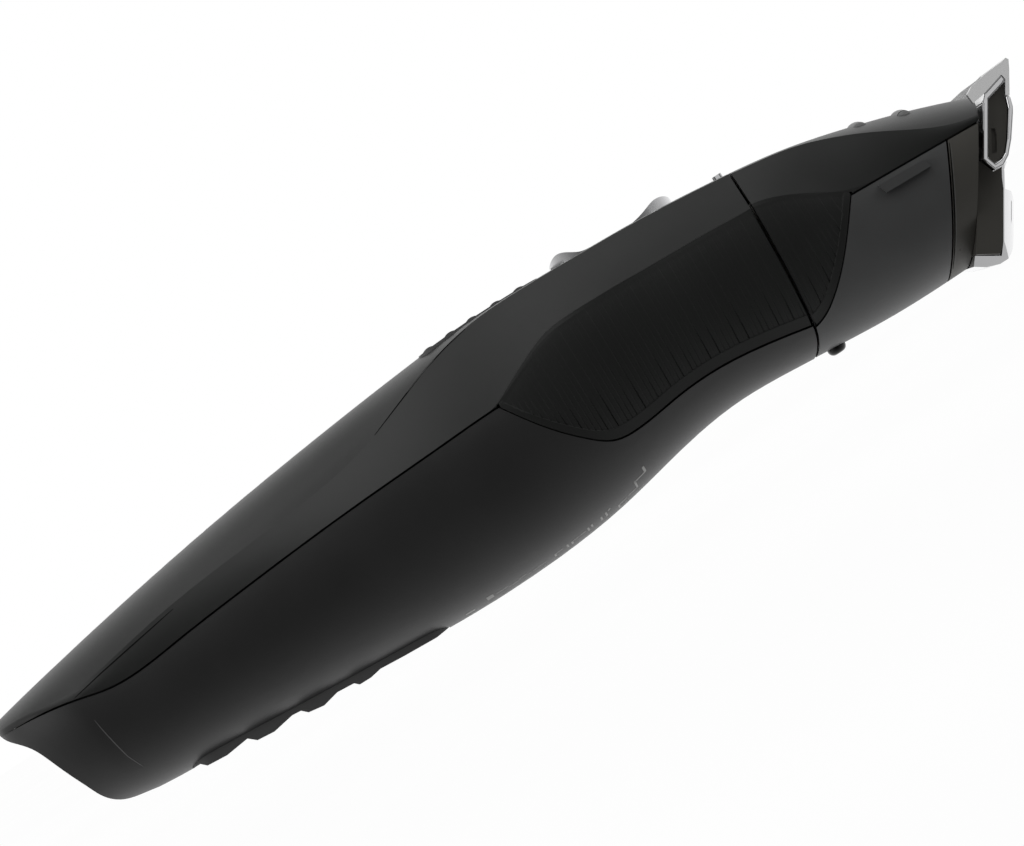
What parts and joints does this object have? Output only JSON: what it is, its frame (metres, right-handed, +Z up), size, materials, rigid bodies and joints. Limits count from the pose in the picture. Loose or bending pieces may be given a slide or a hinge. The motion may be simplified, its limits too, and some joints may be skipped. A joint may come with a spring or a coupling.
{
  "type": "hair clipper",
  "caption": "Cordless hair clipper lying on its back: curved two-part handle with soft grooved grips, oval push button and a pull-off T-blade head.",
  "frame": {"origin": "middle of the bounding box, at its lowest level: the surface the clipper lies on", "axes": "+X from the tail to the blade, +Z up out of the front (push-button side), +Y across; the row is its own mirror image in Y"},
  "size_m": [0.1727, 0.0374, 0.0369],
  "materials": {
    "cover_dark": "satin",
    "casing_black": "matte",
    "housing_grey": "satin",
    "holder_grey": "matte",
    "soft_grip": "grooved",
    "soft_pad": "ribbed",
    "chrome": "polished",
    "blade_steel": "ground",
    "steel": "plain",
    "button_black": "gloss",
    "frame_plastic": "plain",
    "magnet": "plain",
    "board_green": "matte",
    "clear": "clear",
    "brass": "plain",
    "cell_wrap": "wrapped",
    "lead_red": "matte",
    "lead_black": "matte"
  },
  "bodies": {
    "handle": {"battery_cell": "cell_wrap", "battery_tab_minus": "brass", "battery_tab_plus": "brass", "charge_led": "clear", "charging_socket": "frame_plastic", "chassis": "frame_plastic", "chassis_screws": "steel", "circuit_board": "board_green", "control_chip": "button_black", "front_cover": "cover_dark", "grip_left": "soft_grip", "grip_right": "soft_grip", "latch_clip_left": "steel", "latch_clip_right": "steel", "lead_battery_minus": "lead_black", "lead_battery_plus": "lead_red", "lead_charge_minus": "lead_black", "lead_charge_plus": "lead_red", "lead_motor_left": "lead_red", "lead_motor_right": "lead_black", "light_guide": "clear", "motor_bracket": "steel", "motor_can": "steel", "motor_endcap": "frame_plastic", "motor_magnets": "magnet", "motor_screws": "steel", "neck_collar": "frame_plastic", "neck_seal": "soft_grip", "neck_trim": "chrome", "rear_casing": "casing_black", "rear_grip_pad": "soft_pad", "socket_contact_sleeve": "brass", "socket_contact_tip": "brass", "switch_bezel": "chrome", "tact_switch": "button_black", "thumb_pad": "soft_pad"},
    "button": {"power_button": "button_black"},
    "rotor": {"rotor_core": "steel", "motor_shaft": "steel", "drive_cam": "brass"},
    "head": {"head_front_cover": "cover_dark", "head_rear_housing": "housing_grey", "head_grip_left": "soft_grip", "head_grip_right": "soft_grip", "blade_holder": "holder_grey", "head_frame": "frame_plastic", "head_frame_screws": "steel", "pivot_pin": "steel", "blade_frame": "chrome", "fixed_blade": "blade_steel", "cutter_spring": "steel", "blade_base": "holder_grey", "blade_cover": "chrome", "blade_screws": "steel", "blade_guards": "holder_grey"},
    "release": {"release_button": "button_black"},
    "lever": {"drive_lever": "frame_plastic"},
    "cutter": {"moving_blade": "blade_steel", "blade_carrier": "frame_plastic"}
  },
  "joints": [
    {"name": "head_pull", "type": "slide", "parent": "handle", "child": "head", "axis": [1, 0, 0], "range_m": [0, 0.024]},
    {"name": "power_push", "type": "slide", "parent": "handle", "child": "button", "axis": [0, 0, -1], "range_m": [0, 0.0007], "stiffness_N_per_m": 500, "springref_m": -0.001},
    {"name": "rotor_spin", "type": "hinge", "parent": "handle", "child": "rotor", "pos_m": [0.0137, 0, 0.018], "axis": [1, 0, 0], "continuous": true},
    {"name": "release_push", "type": "slide", "parent": "head", "child": "release", "axis": [0, 0, 1], "range_m": [0, 0.0009], "stiffness_N_per_m": 500, "springref_m": -0.001},
    {"name": "lever_swing", "type": "hinge", "parent": "head", "child": "lever", "pos_m": [0.0597, 0, 0.018], "axis": [0, 0, 1], "range_deg": [-3.6, 3.6]},
    {"name": "cutter_slide", "type": "slide", "parent": "head", "child": "cutter", "axis": [0, 1, 0], "range_m": [-0.00128, 0.00128]}
  ],
  "couplings": [
    {"joint": "lever_swing", "follows": "cutter_slide", "rad_per_m": 49.02}
  ]
}
